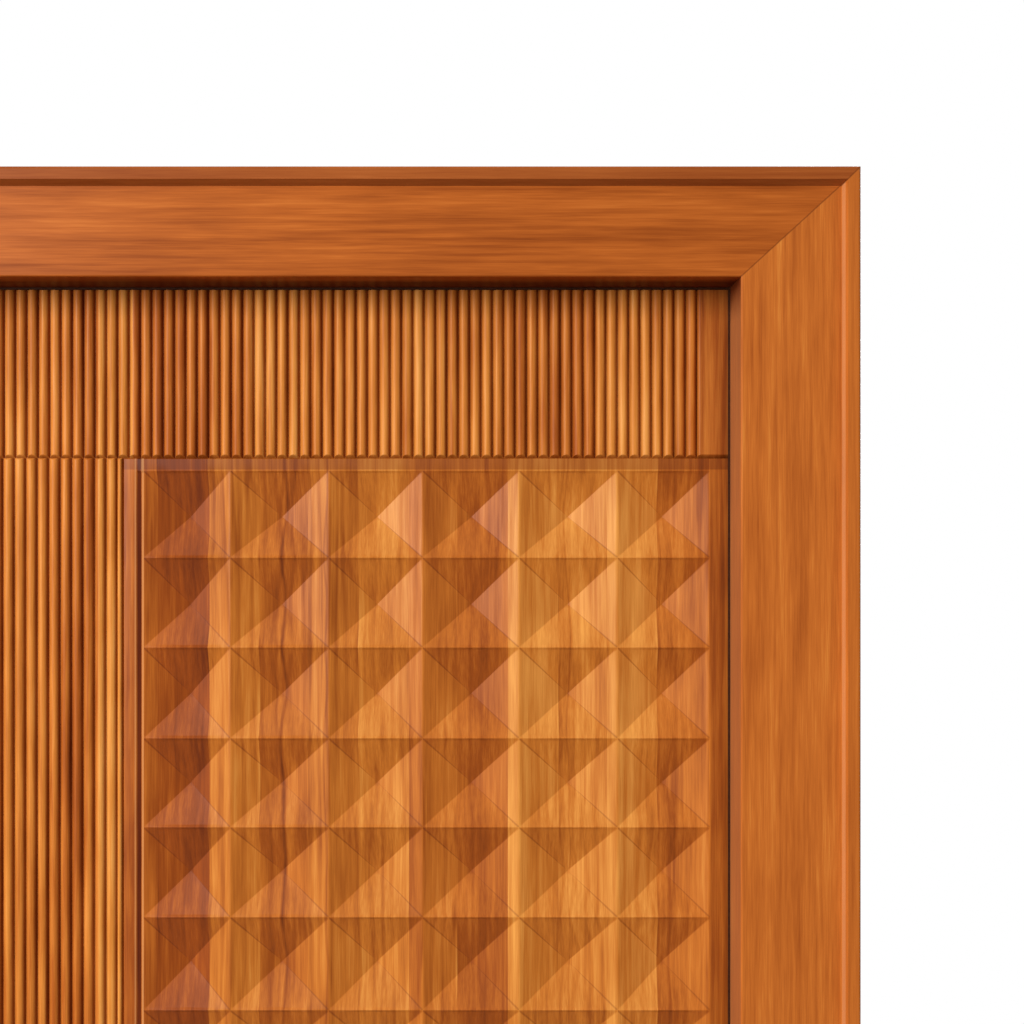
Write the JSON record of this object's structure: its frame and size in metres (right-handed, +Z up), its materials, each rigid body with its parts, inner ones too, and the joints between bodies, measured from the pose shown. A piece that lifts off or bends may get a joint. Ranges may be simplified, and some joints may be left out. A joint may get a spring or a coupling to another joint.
{
  "type": "teak door",
  "caption": "Teak entrance door in its rebated frame: reeded bands around a panel of sunken pyramids, hung on butt hinges, with a deadbolt and long pull bars.",
  "frame": {"origin": "middle of the sill's underside, at floor level, halfway through the frame's depth", "axes": "+X to the right as seen from outside, +Y into the room, +Z up; the leaf hangs on the +X side and opens towards +Y"},
  "size_m": [1.236, 0.199, 2.2255],
  "materials": {
    "frame_teak": "satin clear varnish on straight-grained teak",
    "panel_teak": "satin clear varnish on carved teak glued up from staves",
    "plain_teak": "satin clear varnish on plain teak",
    "core_wood": "bare sawn wood",
    "seal_rubber": "matt dark brown",
    "satin_steel": "satin brushed",
    "zinc_steel": "zinc plated",
    "lock_brass": "machined"
  },
  "bodies": {
    "frame": {"left_jamb": "frame_teak", "right_jamb": "frame_teak", "head": "frame_teak", "sill": "frame_teak", "frame_dowels": "core_wood", "cover_band_left": "frame_teak", "cover_band_right": "frame_teak", "cover_band_head": "frame_teak", "seal_left": "seal_rubber", "seal_right": "seal_rubber", "seal_head": "seal_rubber", "seal_sill": "seal_rubber", "strike_plate": "satin_steel", "strike_box": "zinc_steel", "strike_screws": "zinc_steel", "hinge_bearings": "zinc_steel", "hinge_frame_screws": "zinc_steel", "hinge_frame_plate_1": "satin_steel", "hinge_frame_plate_2": "satin_steel", "hinge_frame_plate_3": "satin_steel", "hinge_pin_1": "satin_steel", "hinge_pin_2": "satin_steel", "hinge_pin_3": "satin_steel"},
    "leaf": {"lock_stile": "core_wood", "hinge_stile": "core_wood", "bottom_rail": "core_wood", "top_rail": "core_wood", "lock_lipping": "plain_teak", "hinge_lipping": "plain_teak", "core_board_1": "core_wood", "core_board_2": "core_wood", "top_reeded_panel": "panel_teak", "bottom_reeded_panel": "panel_teak", "side_reeded_panel": "panel_teak", "diamond_panel": "panel_teak", "back_panel_top": "plain_teak", "back_panel_middle": "plain_teak", "back_panel_bottom": "plain_teak", "hinge_door_screws": "zinc_steel", "lock_case": "zinc_steel", "lock_cover": "zinc_steel", "lock_faceplate": "satin_steel", "faceplate_screws": "zinc_steel", "lock_cylinder": "lock_brass", "cylinder_screw": "zinc_steel", "outer_escutcheon": "satin_steel", "inner_escutcheon": "satin_steel", "outer_pull_bar": "satin_steel", "inner_pull_bar": "satin_steel", "pull_posts": "satin_steel", "pull_end_caps": "satin_steel", "pull_bolts": "satin_steel", "hinge_door_plate_1": "satin_steel", "hinge_door_plate_2": "satin_steel", "hinge_door_plate_3": "satin_steel"},
    "deadbolt": {"deadbolt": "lock_brass"},
    "turn": {"thumb_turn": "satin_steel", "lock_cam": "lock_brass", "key_plug": "lock_brass"}
  },
  "joints": [
    {"name": "leaf_swing", "type": "hinge", "parent": "frame", "child": "leaf", "pos_m": [0.5135, 0.069, 1], "axis": [0, 0, -1], "range_deg": [0, 120]},
    {"name": "thumb_turn_spin", "type": "hinge", "parent": "leaf", "child": "turn", "pos_m": [-0.452, 0.039, 1.04], "axis": [0, -1, 0], "range_deg": [0, 90]},
    {"name": "bolt_slide", "type": "slide", "parent": "leaf", "child": "deadbolt", "axis": [-1, 0, 0], "range_m": [0, 0.02]}
  ],
  "couplings": [
    {"joint": "thumb_turn_spin", "follows": "bolt_slide", "rad_per_m": 78.54}
  ]
}
